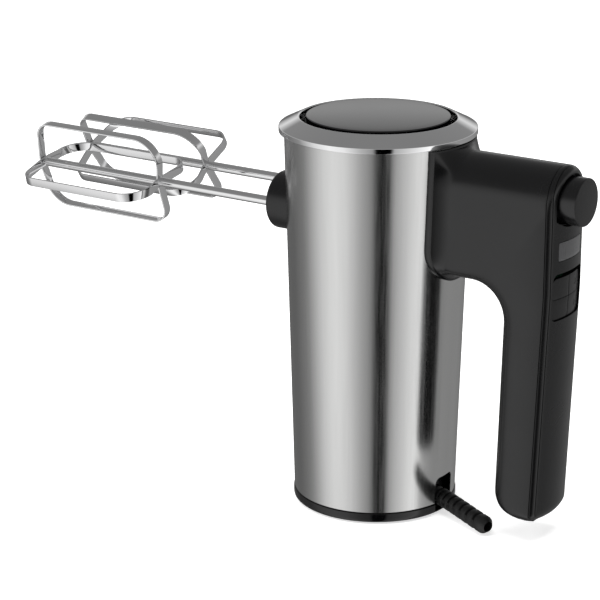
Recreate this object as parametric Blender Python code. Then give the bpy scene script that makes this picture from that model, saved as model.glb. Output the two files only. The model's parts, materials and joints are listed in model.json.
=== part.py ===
"""Hand mixer with an upright motor body, a pistol handle and two cage beaters.

World frame, metres: +Z up, the pad's underside at z = 0 on the motor's axis, beaters towards -X,
handle towards +X. Lengths below are in millimetres and are scaled once, when a mesh is made.
"""

import math

import bmesh
import bpy
from mathutils import Matrix, Vector

MM = 0.001
GAP = 0.3

# Body: a slightly tapered steel sleeve between a base and a bezel.
SLEEVE_BOTTOM = 5.7
SLEEVE_TOP = 187.3
SLEEVE_RADIUS_BOTTOM = 40.2
SLEEVE_RADIUS_TOP = 45.4
SLEEVE_WALL = 0.8
BASE_RADIUS = 40.6
PAD_RADIUS = 36.5
BEZEL_RADIUS = 48.0
BEZEL_TOP = 195.0
BEZEL_BORE = 37.9
CAP_RADIUS = 34.8
CAP_EDGE_TOP = 195.5
CAP_RISE = 0.5
VENT_COUNT = 12
BASE_SCREW_Y = 24.0

# Cord notch, and the strain relief that comes out of it.
NOTCH_HALF_WIDTH = 7.4
NOTCH_TOP = 18.8
RELIEF_RADIUS = 4.5
RELIEF_GROOVE_RADIUS = 3.4
RELIEF_BORE_RADIUS = 2.6
RELIEF_Z = 7.8
RELIEF_START_X = 28.0
RELIEF_BEND_X = 34.0
RELIEF_STRAIGHT_SHARE = 0.13
RELIEF_END = (75.0, -16.6, 5.0)
RIB_COUNT = 8
RIB_START = 0.27
RIB_PITCH = 0.0875

# Motor, standing on the axis.
MOTOR_SHAFT_RADIUS = 2.3
MOTOR_BORE = MOTOR_SHAFT_RADIUS + GAP
STATOR_Z = 80.0
STATOR_BOTTOM = 66.0
STATOR_TOP = 94.0
ARMATURE_POLES = 12
ARMATURE_RADIUS = 15.2
SLOT_FLOOR_RADIUS = 11.0
COIL_Y = 21.0
BRACKET_CORNER = (25.0, 18.0)
FAN_BLADES = 8

# Drive: a two-start worm on the motor shaft turns one wheel on each side of it.
SPINDLE_OFFSET = 20.05
SPINDLE_Z = 149.5
WORM_STARTS = 2
WHEEL_TEETH = 24
WORM_PITCH_RADIUS = 5.0
WHEEL_PITCH_RADIUS = SPINDLE_OFFSET - WORM_PITCH_RADIUS
GEAR_MODULE = 2 * WHEEL_PITCH_RADIUS / WHEEL_TEETH
WORM_LEAD = math.pi * GEAR_MODULE * WORM_STARTS
SPINDLE_RADIUS = 5.5
SPINDLE_FRONT = -46.5
SPINDLE_REAR = 15.5
BUSH_RADIUS = 7.6
HEX_BORE_CORNER = 3.0
HOUSING_RADIUS = 42.0
HOUSING_REAR = 17.0
HOUSING_WALL = 2.2
COLLAR_HALF_WIDTH = 27.0
COLLAR_HALF_HEIGHT = 14.3
COLLAR_FRONT = -48.0
COLLAR_SEAT_RADIUS = 42.35

# Beaters.
SHAFT_RADIUS = 2.35
BEATER_TIP = -193.0
BEATER_REAR = -116.8
CAGE_RADIUS = 23.0
STRIP_WIDTH = 4.7
STRIP_THICKNESS = 0.9
ARM_SLANT = 1.4
CORNER_TIGHT = 8.0
CORNER_WIDE = 13.0
LEFT_PHASE = math.radians(13)
RIGHT_PHASE = math.radians(45) - LEFT_PHASE

# Handle: a deep arm with a round back, and a grip that leans in towards the base.
HANDLE_HALF_WIDTH = 17.0
ARCH_Z = 168.0
ARM_UNDERSIDE = 125.6
INNER_CORNER_X = 60.0
INNER_CORNER_Z = 108.6
INNER_CORNER_RADIUS = 17.0
GRIP_BOTTOM = 11.0
GRIP_EDGE = 9.0
ARM_EDGE = 8.0
FOOT_EDGE_INNER = 11.0
FOOT_EDGE_OUTER = 6.0
REAR_FACE_X = 106.0
REAR_CROWN = 94.0
REAR_LEAN_START = 125.0
REAR_LEAN = 0.040
INNER_LEAN = 0.027
TOP_CORNER = 4.0
SEAM_X = 100.8
FLANGE_HALF_WIDTH = 20.5
FLANGE_THICKNESS = 2.0
FLANGE_TOP = 187.0
FLANGE_BOTTOM = 121.0
FLANGE_CORNER = 18.0
HANDLE_SCREWS = {"lower": 136.0, "upper": 176.8}
SCREW_HOLE_RADIUS = 1.9
YOKE_OPENING = ((30, -10, 142), (60, 10, 172.6))

# The handle's hollow, and what shows in its rear cover.
HOLLOW_HALF_WIDTH = 13.2
GRIP_HOLLOW_X = 80.5
GRIP_HOLLOW_BOTTOM = 22.0
ARM_HOLLOW_X = 51.0
ARM_HOLLOW_BOTTOM = 131.0
ARM_HOLLOW_TOP = 174.0
POCKET_HALF_WIDTH = 12.7
POCKET_BOTTOM = 156.8
POCKET_SHOULDER = 161.0
POCKET_FLOOR_X = 102.6
WINDOW_HALF_WIDTH = 10.3
WINDOW_BOTTOM = 141.7
WINDOW_TOP = 150.5
KEYPAD_HALF_WIDTH = 13.4
KEYPAD_BOTTOM = 112.7
KEYPAD_TOP = 135.6
KEY_WIDTH = 12.2
KEY_HEIGHT = 9.9
KEY_SETBACK = 0.9
KEY_CORNERS = {
    "key_upper_left": (-12.4, 123.2),
    "key_upper_right": (0.2, 123.2),
    "key_lower_left": (-12.4, 113.0),
    "key_lower_right": (0.2, 113.0),
}

# Eject button and rod, above the motor's wheels.
BUTTON_Z = 168.8
BUTTON_RADIUS = 11.4
BUTTON_FACE = 113.0
ROD_RADIUS = 2.2
SPRING_RADIUS = 4.0
SPRING_WIRE_RADIUS = 0.5
SPRING_START_X = 51.9
SPRING_LENGTH = 11.7
SPRING_TURNS = 5

ALONG_X = (0, math.pi / 2, 0)
LIE_DOWN = Matrix.Rotation(math.pi / 2, 4, "Y")

LOOKS = {
    "brushed_steel": ((0.62, 0.62, 0.61), 0.28, 1.0),
    "chrome": ((0.82, 0.82, 0.82), 0.08, 1.0),
    "steel": ((0.55, 0.55, 0.56), 0.3, 1.0),
    "black_satin": ((0.022, 0.022, 0.023), 0.45, 0.0),
    "black_gloss": ((0.01, 0.01, 0.011), 0.08, 0.0),
    "smoked_window": ((0.05, 0.05, 0.052), 0.12, 0.0),
    "rubber": ((0.03, 0.03, 0.03), 0.8, 0.0),
    "bronze": ((0.55, 0.36, 0.17), 0.35, 1.0),
    "copper": ((0.72, 0.33, 0.18), 0.3, 1.0),
    "lamination": ((0.32, 0.33, 0.35), 0.5, 1.0),
    "nylon": ((0.78, 0.77, 0.72), 0.5, 0.0),
    "board_green": ((0.03, 0.2, 0.09), 0.5, 0.0),
    "carbon": ((0.04, 0.04, 0.04), 0.6, 0.0),
    "capacitor_yellow": ((0.75, 0.6, 0.1), 0.45, 0.0),
}


# ---------------------------------------------------------------- helpers


def material(name):
    found = bpy.data.materials.get(name)
    if found:
        return found
    colour, roughness, metallic = LOOKS[name]
    made = bpy.data.materials.new(name)
    made.use_nodes = True
    shader = made.node_tree.nodes["Principled BSDF"]
    shader.inputs["Base Color"].default_value = (*colour, 1)
    shader.inputs["Roughness"].default_value = roughness
    shader.inputs["Metallic"].default_value = metallic
    made.diffuse_color = (*colour, 1)
    return made


def solid(name, shape, look, at=(0, 0, 0), turn=(0, 0, 0)):
    """One object from a shape's points and faces in millimetres, about its own origin."""
    points, faces = shape
    mesh = bpy.data.meshes.new(name)
    mesh.from_pydata([[MM * value for value in point] for point in points], [], faces)
    work = bmesh.new()
    work.from_mesh(mesh)
    bmesh.ops.recalc_face_normals(work, faces=work.faces)
    work.to_mesh(mesh)
    work.free()
    mesh.shade_smooth()
    mesh.set_sharp_from_angle(angle=math.radians(35))
    made = bpy.data.objects.new(name, mesh)
    bpy.context.scene.collection.objects.link(made)
    made.location = [MM * value for value in at]
    made.rotation_euler = turn
    if look:
        mesh.materials.append(material(look))
    return made


def combine(target, shape, operation, at=(0, 0, 0), turn=(0, 0, 0)):
    """A live Boolean with a hidden operand: DIFFERENCE, UNION or INTERSECT."""
    index = len(target.modifiers) + 1
    operand = solid(f"{target.name}_{operation.lower()}_{index}", shape, None, at, turn)
    operand.hide_render = True
    operand.display_type = "WIRE"
    modifier = target.modifiers.new(f"{operation.title()} {index}", "BOOLEAN")
    modifier.object = operand
    modifier.operation = operation
    return target


def cut(target, shape, at=(0, 0, 0), turn=(0, 0, 0)):
    return combine(target, shape, "DIFFERENCE", at, turn)


def join(target, shape, at=(0, 0, 0), turn=(0, 0, 0)):
    return combine(target, shape, "UNION", at, turn)


def keep(target, shape, at=(0, 0, 0), turn=(0, 0, 0)):
    return combine(target, shape, "INTERSECT", at, turn)


def lathe(profile, segments=32):
    """A turned shape about Z. The profile is a closed loop of (radius, z)."""
    points = []
    rings = []
    for radius, height in profile:
        if radius < 1e-6:
            rings.append([len(points)] * segments)
            points.append((0, 0, height))
            continue
        rings.append(list(range(len(points), len(points) + segments)))
        for step in range(segments):
            angle = 2 * math.pi * step / segments
            points.append((radius * math.cos(angle), radius * math.sin(angle), height))
    faces = []
    for ring, following in zip(rings, rings[1:] + rings[:1]):
        for step in range(segments):
            after = (step + 1) % segments
            corners = [ring[step], ring[after], following[after], following[step]]
            face = [c for i, c in enumerate(corners) if c not in corners[:i]]
            if len(face) > 2:
                faces.append(face)
    return points, faces


def rod(radius, low, high, segments=24):
    return lathe([(0, low), (radius, low), (radius, high), (0, high)], segments)


def tube(inner, outer, low, high, segments=32):
    return lathe([(inner, low), (outer, low), (outer, high), (inner, high)], segments)


def prism(outline, low, high, plane="XY"):
    """An outline pushed along the axis that its plane leaves out."""
    place = {
        "XY": lambda u, v, w: (u, v, w),
        "XZ": lambda u, v, w: (u, w, v),
        "YZ": lambda u, v, w: (w, u, v),
    }[plane]
    count = len(outline)
    points = [place(u, v, w) for w in (low, high) for u, v in outline]
    faces = [list(range(count)), list(range(count, 2 * count))]
    for step in range(count):
        after = (step + 1) % count
        faces.append([step, after, count + after, count + step])
    return points, faces


def box(low, high):
    outline = [(low[0], low[1]), (high[0], low[1]), (high[0], high[1]), (low[0], high[1])]
    return prism(outline, low[2], high[2])


def merged(*shapes):
    """Several shapes as one operand."""
    points = []
    faces = []
    for shape_points, shape_faces in shapes:
        start = len(points)
        points += shape_points
        faces += [[start + index for index in face] for face in shape_faces]
    return points, faces


def moved(shape, matrix):
    points, faces = shape
    return [tuple(matrix @ Matrix.Translation(p).to_translation()) for p in points], faces


def arc(centre, radius, start, end, steps):
    """Points along an arc, angles in degrees."""
    found = []
    for step in range(steps + 1):
        angle = math.radians(start + (end - start) * step / steps)
        found.append((centre[0] + radius * math.cos(angle), centre[1] + radius * math.sin(angle)))
    return found


def rounded_box(half_u, half_v, radius, steps=4):
    outline = []
    for sign_u, sign_v, start in ((1, 1, 0), (-1, 1, 90), (-1, -1, 180), (1, -1, 270)):
        centre = (sign_u * (half_u - radius), sign_v * (half_v - radius))
        outline += arc(centre, radius, start, start + 90, steps)
    return outline


def sagging_arch(half_width, centre_z, shoulder, bottom):
    """An outline with a half-round top, straight sides and a bottom that sags from its corners."""
    sag = shoulder - bottom
    radius = (half_width**2 + sag**2) / (2 * sag)
    swing = math.degrees(math.asin(half_width / radius))
    floor = arc((0, bottom + radius), radius, 270 - swing, 270 + swing, 8)
    return floor + arc((0, centre_z), half_width, 0, 180, 17)


def body_radius(height):
    share = (height - SLEEVE_BOTTOM) / (SLEEVE_TOP - SLEEVE_BOTTOM)
    return SLEEVE_RADIUS_BOTTOM + share * (SLEEVE_RADIUS_TOP - SLEEVE_RADIUS_BOTTOM)


def body_cone(offset, low, high, segments=96):
    """The body's own cone, grown by offset."""
    return lathe(
        [(0, low), (body_radius(low) + offset, low), (body_radius(high) + offset, high), (0, high)],
        segments,
    )


def screw_holes(radius, end):
    """Holes along X for the two screws that hold the handle."""
    hole = rod(radius, 30, end, 12)
    return merged(*[moved(hole, Matrix.Translation((0, 0, z)) @ LIE_DOWN) for z in HANDLE_SCREWS.values()])


# ---------------------------------------------------------------- base, sleeve and top


def make_base():
    pad = [(0, 0), (PAD_RADIUS - 0.6, 0), (PAD_RADIUS, 0.6), (PAD_RADIUS, 1.6), (0, 1.6)]
    solid("base_pad", lathe(pad, 48), "rubber")
    lip = PAD_RADIUS + 0.4
    edge = arc((BASE_RADIUS - 2.6, 3.2), 2.6, -90, 0, 2)
    profile = [(0, 1.9), (lip, 1.9), (lip, 0.6), *edge, (BASE_RADIUS, 5.4), (38.9, 5.4)]
    profile += [(38.9, 9), (37.4, 9), (37.4, 4.2), (0, 4.2)]
    base = solid("base_plate", lathe(profile, 48), "black_gloss")
    cut(base, box((33, -NOTCH_HALF_WIDTH, 1.7), (50, NOTCH_HALF_WIDTH, 12)))
    cut(base, box((27, -5, 3), (34, 5, 12)))
    hole = rod(1.8, 1, 6, 16)
    cut(base, merged(*[moved(hole, Matrix.Translation((0, side * BASE_SCREW_Y, 0))) for side in (-1, 1)]))


def collar_outline(grow):
    """The beater collar's outline across the front, its ends almost half round."""
    half_height = COLLAR_HALF_HEIGHT + grow
    return rounded_box(COLLAR_HALF_WIDTH + grow, half_height, half_height - 0.05, 8)


def make_sleeve():
    low, high = SLEEVE_BOTTOM, SLEEVE_TOP
    profile = [
        (body_radius(low), low),
        (body_radius(high), high),
        (body_radius(high) - SLEEVE_WALL, high),
        (body_radius(low) - SLEEVE_WALL, low),
    ]
    sleeve = solid("steel_sleeve", lathe(profile, 64), "brushed_steel")
    notch = rounded_box(NOTCH_HALF_WIDTH, NOTCH_TOP, 2, 3)
    cut(sleeve, prism(notch, 30, 60, "YZ"))
    cut(sleeve, prism(collar_outline(GAP), -60, -20, "YZ"), at=(0, 0, SPINDLE_Z))
    cut(sleeve, box(*YOKE_OPENING))
    cut(sleeve, screw_holes(SCREW_HOLE_RADIUS, 60))


def make_top():
    outer = BEZEL_RADIUS
    profile = [(outer, 187.7), (outer, 190.4), (BEZEL_BORE + 0.6, BEZEL_TOP), (BEZEL_BORE, 194.6)]
    profile += [(BEZEL_BORE, 190.5), (42.0, 188.6), (42.0, 180.6), (44.0, 180.6), (44.0, 187.7)]
    solid("top_bezel", lathe(profile, 56), "chrome")

    dish = [(0, 181.5), (41.6, 181.5), (41.6, 183.3), (34.6, 183.3), (34.6, 193.6), (33.0, 193.6)]
    dish += [(33.0, 183.3), (0, 183.3)]
    vents = []
    for step in range(VENT_COUNT):
        turn = Matrix.Rotation(2 * math.pi * step / VENT_COUNT, 4, "Z")
        vents.append(moved(box((35.4, -5.5, 180), (39.5, 5.5, 185)), turn))
    cut(solid("vent_frame", lathe(dish, 36), "black_satin"), merged(*vents))

    dome = [(CAP_RADIUS, CAP_EDGE_TOP - 0.7), (CAP_RADIUS - 0.5, CAP_EDGE_TOP - 0.1)]
    for share in (0.75, 0.4, 0.0):
        dome.append((CAP_RADIUS * share, CAP_EDGE_TOP + CAP_RISE * (1 - share**2)))
    cap = [(0, 194), (CAP_RADIUS, 194)] + dome
    solid("top_cap", lathe(cap, 40), "black_gloss")


# ---------------------------------------------------------------- motor


def make_armature():
    outline = []
    for step in range(ARMATURE_POLES):
        angle = 2 * math.pi * step / ARMATURE_POLES
        corners = (
            (ARMATURE_RADIUS, -0.2),
            (ARMATURE_RADIUS, 0.2),
            (SLOT_FLOOR_RADIUS, 0.21),
            (SLOT_FLOOR_RADIUS, 0.31),
        )
        for radius, offset in corners:
            outline.append((radius * math.cos(angle + offset), radius * math.sin(angle + offset)))
    core = solid("armature_core", prism(outline, STATOR_BOTTOM, STATOR_TOP), "copper")
    cut(core, rod(MOTOR_BORE, 60, 100, 20))
    solid("commutator", tube(MOTOR_BORE, 9.0, 46, 56, 32), "copper")

    fan = solid("cooling_fan", tube(MOTOR_BORE, 30, 103, 104.4, 32), "nylon")
    for step in range(FAN_BLADES):
        turn = Matrix.Rotation(2 * math.pi * step / FAN_BLADES, 4, "Z")
        join(fan, moved(box((6, -0.7, 104), (29, 0.7, 111)), turn))
    join(fan, tube(MOTOR_BORE, 7, 104, 111, 16))


def make_stator():
    stator = solid("stator_core", prism(rounded_box(31, 29, 8), STATOR_BOTTOM, STATOR_TOP), "lamination")
    cut(stator, prism(rounded_box(26, 24, 4), 60, 100))
    for side in (-1, 1):
        pole = [(-11, side * 16.6), (11, side * 16.6), (11, side * 25), (-11, side * 25)]
        join(stator, prism(pole, STATOR_BOTTOM, STATOR_TOP))
        shoe = arc((0, 0), 18.2, 90 * side - 50, 90 * side + 50, 10)
        shoe += arc((0, 0), 15.8, 90 * side + 50, 90 * side - 50, 10)
        join(stator, prism(shoe, STATOR_BOTTOM, STATOR_TOP))
    for name, side in (("left_field_coil", -1), ("right_field_coil", 1)):
        centre = (0, side * COIL_Y, STATOR_Z)
        coil = solid(name, prism(rounded_box(19.5, 22, 6), -2.4, 2.4, "XZ"), "copper", at=centre)
        cut(coil, prism(rounded_box(11.6, 14.6, 2), -50, 50, "XZ"), at=centre)


def make_motor():
    solid("motor_shaft", rod(MOTOR_SHAFT_RADIUS, 35, 166, 20), "steel")
    make_armature()
    make_stator()
    solid("lower_bearing", tube(MOTOR_BORE, 6.4, 36.6, 40.6, 24), "steel")
    solid("upper_bearing", tube(MOTOR_BORE, 8.0, 121.5, 126.5, 28), "steel")

    plate = [(3.2, 34), (9, 34), (9, 36.3), (34, 36.3), (34, 39), (9, 39), (9, 41), (6.8, 41)]
    plate += [(6.8, 36.3), (3.2, 36.3)]
    bracket = solid("motor_bracket", lathe(plate, 28), "nylon")
    for side_x in (-1, 1):
        for side_y in (-1, 1):
            corner = Matrix.Translation((side_x * BRACKET_CORNER[0], side_y * BRACKET_CORNER[1], 0))
            join(bracket, moved(rod(2.8, 37, STATOR_BOTTOM - GAP, 8), corner))
    for side in (-1, 1):
        leg = Matrix.Translation((0, side * BASE_SCREW_Y, 0))
        join(bracket, moved(rod(5, 4.5, 38, 16), leg))
        cut(bracket, moved(rod(1.7, 1, 18, 12), leg))

    for name, turn in (("front", math.pi), ("rear", 0.0)):
        sleeve = box((11.5, -4.6, 39.3), (26, 4.6, 55.4))
        holder = solid(f"{name}_brush_holder", sleeve, "bronze", turn=(0, 0, turn))
        cut(holder, box((5, -3.3, 47.7), (25, 3.3, 54.3)), turn=(0, 0, turn))
        solid(f"{name}_carbon_brush", box((9.4, -3, 48), (20, 3, 54)), "carbon", turn=(0, 0, turn))

    solid("power_board", box((-30, -16, 20), (28, 16, 21.6)), "board_green")
    solid("capacitor", box((-26, -6, 21.9), (-10, 6, 32.5)), "capacitor_yellow")
    for name, side in (("left_base_screw", -1), ("right_base_screw", 1)):
        screw = [(0, 2.2), (1.5, 2.2), (1.4, 16), (0, 16)]
        solid(name, lathe(screw, 12), "steel", at=(0, side * BASE_SCREW_Y, 0))


# ---------------------------------------------------------------- gearbox


def helical_surface(outline, low, high, slices, turn_per_mm):
    """A toothed solid: an outline of (angle, radius) that turns as it rises along Z."""
    points = []
    steps = len(outline)
    for level in range(slices + 1):
        height = low + (high - low) * level / slices
        for angle, radius in outline:
            turned = angle + turn_per_mm * height
            points.append((radius * math.cos(turned), radius * math.sin(turned), height))
    faces = [list(range(steps)), list(range(slices * steps, (slices + 1) * steps))]
    for level in range(slices):
        for step in range(steps):
            after = (step + 1) % steps
            low_ring, high_ring = level * steps, (level + 1) * steps
            faces.append([low_ring + step, low_ring + after, high_ring + after, high_ring + step])
    return points, faces


def toothed_outline(teeth, tip, root, tip_share, root_share, start, extra=0):
    """Flat-topped teeth round a circle: shares are of half a pitch, from a tooth's middle."""
    outline = []
    pitch = 2 * math.pi / teeth
    for tooth in range(teeth):
        middle = start + tooth * pitch
        corners = ((-tip_share, tip), (tip_share, tip), (root_share, root), (2 - root_share, root))
        for share, radius in corners:
            outline.append((middle + share * pitch / 2, radius))
            if extra and (share, radius) in ((-tip_share, tip), (root_share, root)):
                span = 2 * tip_share if radius == tip else 2 - 2 * root_share
                for step in range(1, extra + 1):
                    outline.append((middle + (share + span * step / (extra + 1)) * pitch / 2, radius))
    return outline


def make_gears():
    tip, root = WORM_PITCH_RADIUS + 1.1, WORM_PITCH_RADIUS - 1.5
    thread = toothed_outline(WORM_STARTS, tip, root, 0.17, 0.52, 0, extra=3)
    turn_per_mm = 2 * math.pi / WORM_LEAD
    screw = helical_surface(thread, -10.5, 10.5, 36, turn_per_mm)
    worm = solid("worm", screw, "steel", at=(0, 0, SPINDLE_Z))
    cut(worm, rod(MOTOR_BORE, 130, 170, 20))

    wheel_tip, wheel_root = WHEEL_PITCH_RADIUS + 1.1, WHEEL_PITCH_RADIUS - 1.5
    lead_angle = math.atan(WORM_LEAD / (2 * math.pi * WORM_PITCH_RADIUS))
    twist = math.tan(lead_angle) / WHEEL_PITCH_RADIUS
    for name, side in (("left", -1), ("right", 1)):
        centre = (0, side * SPINDLE_OFFSET, SPINDLE_Z)
        teeth = toothed_outline(WHEEL_TEETH, wheel_tip, wheel_root, 0.22, 0.6, 0)
        wheel = helical_surface(teeth, -4, 4, 2, twist)
        made = solid(f"{name}_worm_wheel", wheel, "nylon", at=centre, turn=ALONG_X)
        join(made, rod(8.2, -6, 7, 20), at=centre, turn=ALONG_X)
        cut(made, rod(SPINDLE_RADIUS + GAP, -20, 20, 20), at=centre, turn=ALONG_X)

        barrel = rod(SPINDLE_RADIUS, SPINDLE_FRONT, SPINDLE_REAR, 28)
        spindle = solid(f"{name}_spindle", barrel, "steel", at=centre, turn=ALONG_X)
        cut(spindle, rod(HEX_BORE_CORNER, -60, 60, 6), at=centre, turn=ALONG_X)

        bore, outer = SPINDLE_RADIUS + GAP, BUSH_RADIUS
        for place, start, end in (("front", -31.5, -21), ("rear", 8.8, 16.8)):
            bush = tube(bore, outer, start, end, 20)
            solid(f"{name}_{place}_bush", bush, "bronze", at=centre, turn=ALONG_X)

        pin = lathe([(0, -9.7), (2.2, -9.7), (2.2, 22), (4.2, 22), (4.2, 24), (0, 24)], 20)
        solid(f"{name}_push_pin", pin, "steel", at=centre, turn=ALONG_X)


def housing_outline(radius, rear):
    """A circle with its rear sliced flat."""
    swing = math.degrees(math.acos(rear / radius))
    return arc((0, 0), radius, swing, 360 - swing, 30)


def make_gearbox():
    oversize = 0.6
    outside = housing_outline(HOUSING_RADIUS + oversize, HOUSING_REAR + oversize)
    housing = solid("gearbox_housing", prism(outside, 126, 170), "nylon")
    inside = housing_outline(HOUSING_RADIUS - HOUSING_WALL, HOUSING_REAR - HOUSING_WALL)
    cut(housing, prism(inside, 128.5, 180))
    axes = [Matrix.Translation((0, side * SPINDLE_OFFSET, SPINDLE_Z)) @ LIE_DOWN for side in (-1, 1)]
    join(housing, merged(*[moved(rod(10, -44, -20, 26), axis) for axis in axes]))
    join(housing, merged(*[moved(rod(10, 8.6, 16, 26), axis) for axis in axes]))
    join(housing, rod(11, 119, 128, 28))
    keep(housing, prism(housing_outline(HOUSING_RADIUS, HOUSING_REAR), 100, 190))
    bore = rod(BUSH_RADIUS + GAP, -60, 30, 30)
    cut(housing, merged(*[moved(bore, axis) for axis in axes]))
    seat = [(0, 100), (8.3, 100), (8.3, 126.8), (3.2, 126.8), (3.2, 140), (0, 140)]
    cut(housing, lathe(seat, 26))
    solid("gearbox_cover", prism(housing_outline(HOUSING_RADIUS, HOUSING_REAR), 170.3, 172.6), "nylon")


def make_collar():
    front = prism(collar_outline(0), COLLAR_FRONT, -30, "YZ")
    collar = solid("beater_collar", front, "black_satin", at=(0, 0, SPINDLE_Z))
    cut(collar, rod(COLLAR_SEAT_RADIUS, -40, 40, 60), at=(0, 0, SPINDLE_Z))
    for side in (-1, 1):
        centre = (0, side * SPINDLE_OFFSET, SPINDLE_Z)
        cut(collar, rod(SPINDLE_RADIUS + 2 * GAP, -60, -20, 28), at=centre, turn=ALONG_X)


# ---------------------------------------------------------------- beaters


def cage_path(stack):
    """Centre line of one loop in (x, across): rear, over the far side, tip, near side, rear."""
    rear, tip = BEATER_REAR, BEATER_TIP + stack
    reach = CAGE_RADIUS - STRIP_THICKNESS / 2
    start = SHAFT_RADIUS + GAP
    upper = [(rear, start)]
    upper += arc((rear - CORNER_WIDE + ARM_SLANT, reach - CORNER_WIDE), CORNER_WIDE, 0, 90, 6)
    upper += arc((tip + CORNER_TIGHT + ARM_SLANT, reach - CORNER_TIGHT), CORNER_TIGHT, 90, 180, 5)
    lower = [(rear, -start)]
    lower += arc((rear - CORNER_TIGHT + ARM_SLANT, CORNER_TIGHT - reach), CORNER_TIGHT, 0, -90, 5)
    lower += arc((tip + CORNER_WIDE + ARM_SLANT, CORNER_WIDE - reach), CORNER_WIDE, -90, -180, 6)
    return upper + [(tip, 3.4), (tip, -3.4)] + lower[::-1]


def strip(path, width, thickness):
    """A flat strip that follows an open path in the XZ plane, its width along Y."""
    count = len(path)
    outer = []
    inner = []
    for index, (u, v) in enumerate(path):
        before = path[max(index - 1, 0)]
        after = path[min(index + 1, count - 1)]
        run = math.hypot(after[0] - before[0], after[1] - before[1])
        normal = ((after[1] - before[1]) / run, -(after[0] - before[0]) / run)
        half = thickness / 2
        outer.append((u + half * normal[0], v + half * normal[1]))
        inner.append((u - half * normal[0], v - half * normal[1]))
    return prism(outer + inner[::-1], -width / 2, width / 2, "XZ")


def make_beaters():
    for name, side, phase in (("left", -1, LEFT_PHASE), ("right", 1, RIGHT_PHASE)):
        centre = (0, side * SPINDLE_OFFSET, SPINDLE_Z)
        tip = BEATER_TIP
        neck = tip + 2.6
        profile = [(0, tip - 1.6), (1.5, tip - 1.5), (2.1, tip - 0.8), (1.15, tip - 0.75), (1.15, neck)]
        profile += [(SHAFT_RADIUS, neck + 0.4), (SHAFT_RADIUS, -24), (0, -24)]
        shaft = solid(f"{name}_beater_shaft", lathe(profile, 20), "chrome", at=centre, turn=ALONG_X)
        join(shaft, rod(2.7, -25, -10, 6), at=centre, turn=ALONG_X)
        for index, letter in enumerate("ab"):
            angle = phase + index * math.pi / 2
            band = strip(cage_path(index * (STRIP_THICKNESS + GAP)), STRIP_WIDTH, STRIP_THICKNESS)
            loop = solid(f"{name}_beater_loop_{letter}", band, "chrome", at=centre, turn=(angle, 0, 0))
            cut(loop, rod(1.5, tip - 5, tip + 5, 16), at=centre, turn=ALONG_X)


# ---------------------------------------------------------------- handle


def arch_top(y):
    return ARCH_Z + math.sqrt(max(HANDLE_HALF_WIDTH**2 - y**2, 0))


def edge_drop(y, radius):
    """How far a rounded long edge falls away at y."""
    over = abs(y) - (HANDLE_HALF_WIDTH - radius)
    if over <= 0:
        return 0
    return radius - math.sqrt(max(radius**2 - over**2, 0))


def rear_x(y, z):
    crown = y**2 / REAR_CROWN
    over = max(abs(y) - 13.5, 0) / 3.5
    lean = REAR_LEAN * max(REAR_LEAN_START - z, 0)
    return REAR_FACE_X - crown - 2.2 * over**3 - lean


def grip_inner_x(y, z):
    lean = INNER_LEAN * (INNER_CORNER_Z - z)
    return INNER_CORNER_X + INNER_CORNER_RADIUS + edge_drop(y, GRIP_EDGE) - lean


def fan_outer(y, angle):
    """Where a ray from the inner corner's centre leaves the handle, round the top rear corner."""
    along, up = math.cos(angle), math.sin(angle)
    top, rear = arch_top(y), rear_x(y, 150)
    to_top = (top - INNER_CORNER_Z) / up if up > 1e-6 else math.inf
    if INNER_CORNER_X + to_top * along < rear - TOP_CORNER:
        return to_top
    reach = (rear - INNER_CORNER_X) / along
    for _ in range(3):
        rear = rear_x(y, INNER_CORNER_Z + reach * up)
        reach = (rear - INNER_CORNER_X) / along
    if INNER_CORNER_Z + reach * up < top - TOP_CORNER:
        return reach
    from_x = rear - TOP_CORNER - INNER_CORNER_X
    from_z = top - TOP_CORNER - INNER_CORNER_Z
    middle = from_x * along + from_z * up
    return middle + math.sqrt(max(middle**2 - from_x**2 - from_z**2 + TOP_CORNER**2, 0))


def spread_across(count=6):
    """Places across the handle, closer together near its sides."""
    return [HANDLE_HALF_WIDTH * math.sin(math.pi / 2 * step / count) for step in range(-count, count + 1)]


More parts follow.
